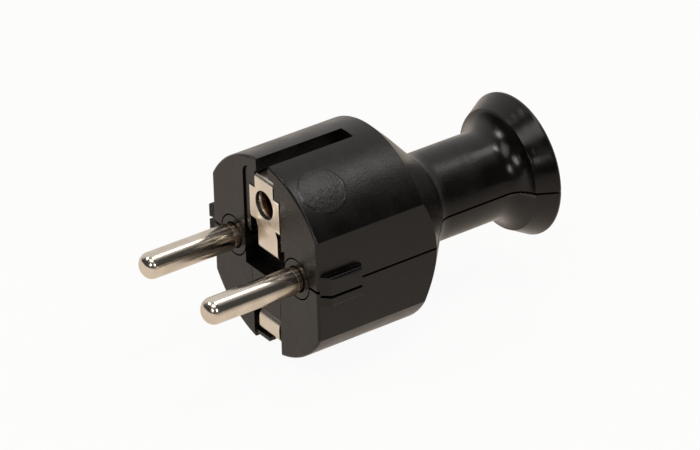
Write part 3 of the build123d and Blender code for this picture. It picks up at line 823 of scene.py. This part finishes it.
@dataclass
class Studio:
    """Pale floor in a white tent that is open to the right and in front, with soft lamps."""

    floor_colour: Colour = (0.80, 0.72, 0.64)
    floor_near: Colour = (0.80, 0.695, 0.60)
    floor_far: Colour = (0.95, 0.90, 0.84)
    near_radius: float = 0.05
    far_radius: float = 0.6
    floor_size: float = 6.0
    whiteness: float = 0.94
    far_side: float = 55.0
    far_dim: float = 0.45
    dim_reach: tuple[float, float] = (0.015, 0.12)
    mirrored: float = 0.85
    tent_colour: Colour = (0.70, 0.67, 0.645)
    tent_bearing: float = -45.0
    tent_height: float = 25.0
    tent_edge: tuple[float, float] = (0.2, 0.62)
    dark: float = 0.05
    aim: tuple[float, float, float] = (0.0, 0.02, 0.0)

    def build(self) -> None:
        """Makes the floor, the tent and the lamps."""
        self._floor()
        self._tent()
        for lamp in LAMPS:
            lamp.hang(Vector(self.aim))

    def _floor(self) -> None:
        """Lays the floor under the lowest point of the plug."""
        low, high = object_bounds()
        middle = (low + high) / 2
        half = self.floor_size / 2
        mesh = bpy.data.meshes.new("floor")
        corners = [(a * half, b * half, 0) for a, b in ((-1, -1), (1, -1), (1, 1), (-1, 1))]
        mesh.from_pydata(corners, [], [(0, 1, 2, 3)])
        floor = bpy.data.objects.new("floor", mesh)
        floor.location = (middle.x, middle.y, low.z)
        bpy.context.scene.collection.objects.link(floor)
        mesh.materials.append(self._paper())
        floor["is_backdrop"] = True

    def _paper(self) -> bpy.types.Material:
        """Pale paper that the camera sees white and the plug mirrors warm.

        Returns:
            The floor's material.
        """
        made = bpy.data.materials.new("floor_paper")
        made.use_nodes = True
        tree = Tree(made.node_tree)
        tree.tree.nodes.clear()
        paper = tree.add("BsdfDiffuse", {"Color": (*self.floor_colour, 1)})
        white = tree.add("Emission", {"Color": (1, 1, 1, 1), "Strength": 1.0})
        rays = tree.add("LightPath")
        seen = tree.math("MULTIPLY", rays.outputs["Is Camera Ray"], self.whiteness)
        shown = tree.add("MixShader", {0: seen, 1: paper.outputs[0], 2: white.outputs[0]})
        # The floor's glow seen in reflections is darker and warmer close to the plug, and dimmed toward the
        # right-back: painted shade for the plug's shadow and the tent's open side.
        place = tree.place()
        away = tree.math("SQRT", tree.dot(place, place))
        reach = tree.ramp(away, self.near_radius, self.far_radius)
        turn = math.radians(self.far_side)
        beyond = tree.dot(place, (math.sin(turn), math.cos(turn), 0))
        dimmed = tree.ramp(beyond, *self.dim_reach, 1.0, self.far_dim)
        warm = tree.add("Emission", {"Color": tree.blend(reach, (*self.floor_near, 1), (*self.floor_far, 1)),
                                     "Strength": dimmed})
        bent = tree.math("MAXIMUM", rays.outputs["Is Glossy Ray"], rays.outputs["Is Transmission Ray"])
        mirrored = tree.math("MULTIPLY", bent, self.mirrored)
        mix = tree.add("MixShader", {0: mirrored, 1: shown.outputs[0], 2: warm.outputs[0]})
        tree.add("OutputMaterial", {"Surface": mix.outputs[0]})
        return made

    def _tent(self) -> None:
        """Fills the world with the tent's light, bright behind on the left and dark to the right."""
        world = bpy.data.worlds.new("tent")
        bpy.context.scene.world = world
        world.use_nodes = True
        tree = Tree(world.node_tree)
        tree.tree.nodes.clear()
        turn, rise = math.radians(self.tent_bearing), math.radians(self.tent_height)
        middle = (math.sin(turn) * math.cos(rise), math.cos(turn) * math.cos(rise), math.sin(rise))
        toward = tree.dot(tree.add("TexCoord").outputs["Generated"], middle)
        lit = tree.ramp(toward, *self.tent_edge)
        cloth = tree.blend(lit, (*[self.dark] * 3, 1), (*self.tent_colour, 1))
        shown = tree.blend(tree.add("LightPath").outputs["Is Camera Ray"], cloth, (1, 1, 1, 1))
        light = tree.add("Background", {"Color": shown, "Strength": 1.0})
        tree.add("OutputWorld", {"Surface": light.outputs[0]})


@dataclass
class Viewpoint:
    """Camera at the photograph's viewing angle."""

    azimuth: float = 55.26
    elevation: float = 29.86
    roll: float = -1.48
    distance: float = 0.795
    focal_px: float = 4588.0
    target: tuple[float, float, float] = (0.0, 0.020, 0.0)
    offset_px: tuple[float, float] = (10.2, -4.0)
    sensor: float = 36.0
    sight: tuple[float, float] = (0.05, 20.0)

    def build(self) -> None:
        """Makes the camera and sets it as the scene's own."""
        a, e, t = (math.radians(v) for v in (self.azimuth, self.elevation, self.roll))
        ahead = Vector((-math.sin(a) * math.cos(e), math.cos(a) * math.cos(e), -math.sin(e)))
        side = Vector((math.cos(a), math.sin(a), 0))
        up = side.cross(ahead)
        right = math.cos(t) * side + math.sin(t) * up
        top = -math.sin(t) * side + math.cos(t) * up
        data = bpy.data.cameras.new("camera")
        data.sensor_width = self.sensor
        data.lens = self.focal_px / PHOTO_WIDTH * self.sensor
        data.shift_x = -self.offset_px[0] / PHOTO_WIDTH
        data.shift_y = self.offset_px[1] / PHOTO_WIDTH
        data.clip_start, data.clip_end = self.sight
        camera = bpy.data.objects.new("camera", data)
        basis = Matrix((right, top, -ahead)).transposed().to_4x4()
        camera.matrix_world = Matrix.Translation(Vector(self.target) - ahead * self.distance) @ basis
        bpy.context.scene.collection.objects.link(camera)
        bpy.context.scene.camera = camera


def corners() -> list[list[float]]:
    """Returns the lowest and highest corner of what is shown, as plain lists."""
    return [list(corner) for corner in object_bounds()]


def main() -> None:
    """Dresses the plug and sets up floor, lamps and camera."""
    logging.basicConfig(level=logging.INFO, format="%(name)s: %(message)s")
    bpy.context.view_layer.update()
    bpy.context.scene.view_settings.view_transform = "Standard"
    dresser = Dresser(Effects())
    dresser.dress_nodes()
    Housing(dresser).build()
    for strip in earth_strips(dresser):
        strip.build()
    Studio().build()
    Viewpoint().build()


if __name__ == "__main__":
    main()
